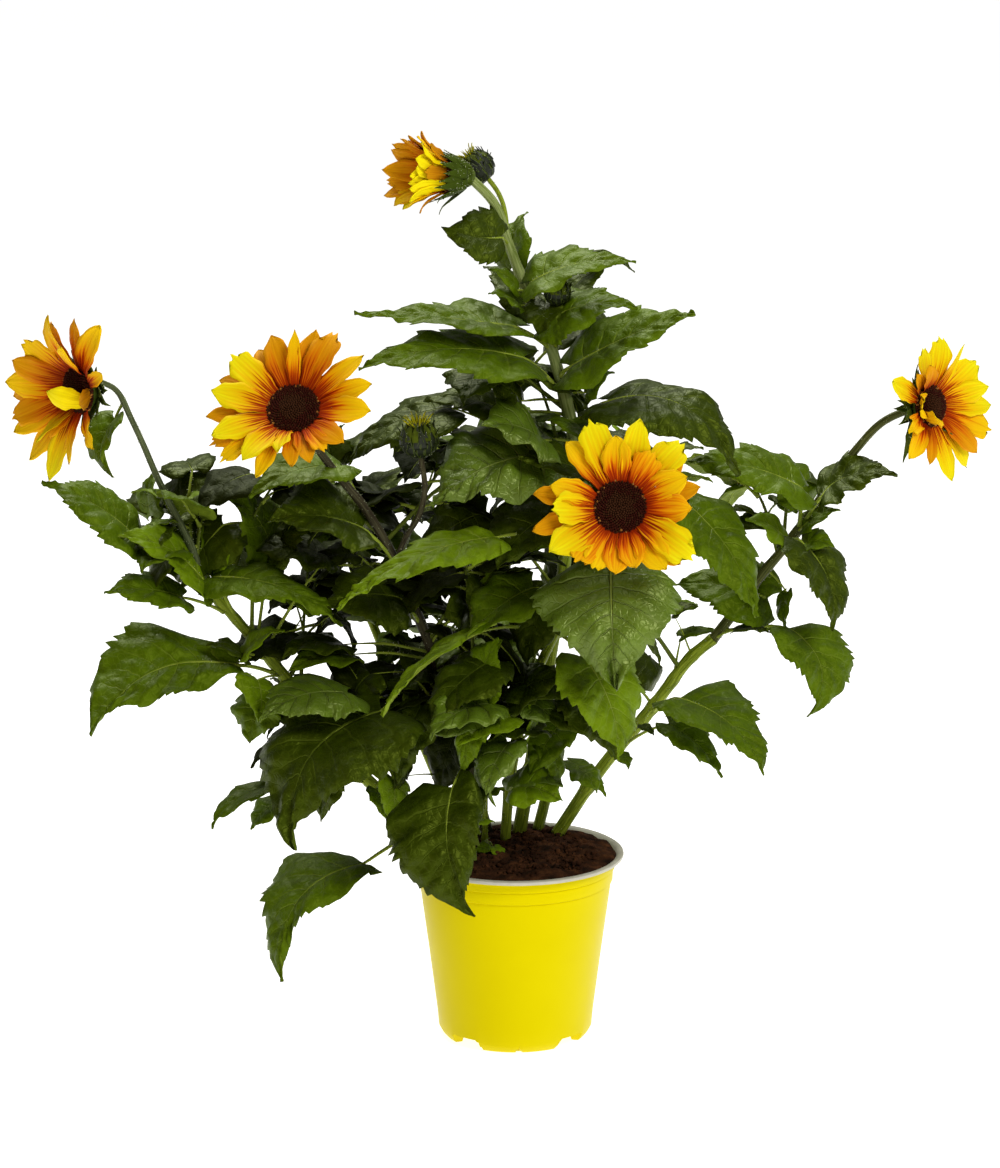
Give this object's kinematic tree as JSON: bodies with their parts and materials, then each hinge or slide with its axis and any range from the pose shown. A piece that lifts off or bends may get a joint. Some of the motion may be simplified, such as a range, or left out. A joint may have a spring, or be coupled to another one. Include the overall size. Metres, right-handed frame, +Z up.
{
  "type": "sunflower plant in a pot",
  "caption": "Branching sunflower plant with open yellow blooms, buds and broad leaves on leaning stems, in a tapered yellow plastic plant pot with a grey rim.",
  "frame": {"origin": "middle of the pot's flat underside, on the floor", "axes": "+Z up, +X to the plant's right as it is seen from its front, +Y to its back"},
  "size_m": [0.7573, 0.3569, 0.7243],
  "materials": {
    "pot": "satin yellow moulded plastic",
    "rim": "smooth grey plastic",
    "soil": "moist crumbly potting soil",
    "stem": "ridged hairy green stem",
    "purple_stem": "ridged hairy dark purple stem",
    "bloom": "satin yellow rays round a dark disc",
    "bud": "hairy green bracts",
    "leaf": "glossy quilted leaf",
    "foliage": "glossy leaves, open between"
  },
  "bodies": {
    "root": {"pot": "pot", "pot_rim": "rim", "soil": "soil", "stem_right": "stem", "stem_centre": "stem", "stem_left": "stem", "stem_middle": "purple_stem", "stem_front": "stem", "stem_slender": "stem", "stem_back_left": "stem", "stem_back_right": "stem", "stem_right_upper": "stem", "stem_centre_upper": "stem", "stem_left_upper": "purple_stem", "bloom_top": "bloom", "bloom_left": "bloom", "bloom_middle": "bloom", "bloom_front": "bloom", "bloom_right": "bloom", "bud_left": "bud", "bud_top": "bud", "bud_high": "bud", "bud_back": "bud", "leaf_top_left": "leaf", "leaf_top_right": "leaf", "leaf_right_high": "leaf", "leaf_left_high": "leaf", "leaf_left_second": "leaf", "leaf_shoulder": "leaf", "leaf_bud_left": "leaf", "leaf_beside_bloom": "leaf", "leaf_light_long": "leaf", "leaf_front_long": "leaf", "leaf_below_bloom": "leaf", "leaf_arm_inner": "leaf", "leaf_arm_outer": "leaf", "leaf_arm_drop": "leaf", "leaf_far_drop": "leaf", "leaf_low_right": "leaf", "leaf_far_left": "leaf", "leaf_low_left": "leaf", "leaf_left_sweep": "leaf", "leaf_hanging": "leaf", "leaf_dark_fold": "leaf", "leaf_over_pot": "leaf", "mass_neck": "foliage", "mass_high": "foliage", "mass_middle_high": "foliage", "mass_left_shoulder": "foliage", "mass_left_arm": "foliage", "mass_left_inner": "foliage", "mass_middle": "foliage", "mass_left_low": "foliage", "mass_middle_low": "foliage", "mass_right_low": "foliage", "mass_right_arm": "foliage", "mass_back_high": "foliage", "mass_back_left": "foliage", "mass_back_right": "foliage", "mass_back_low": "foliage"}
  },
  "joints": []
}
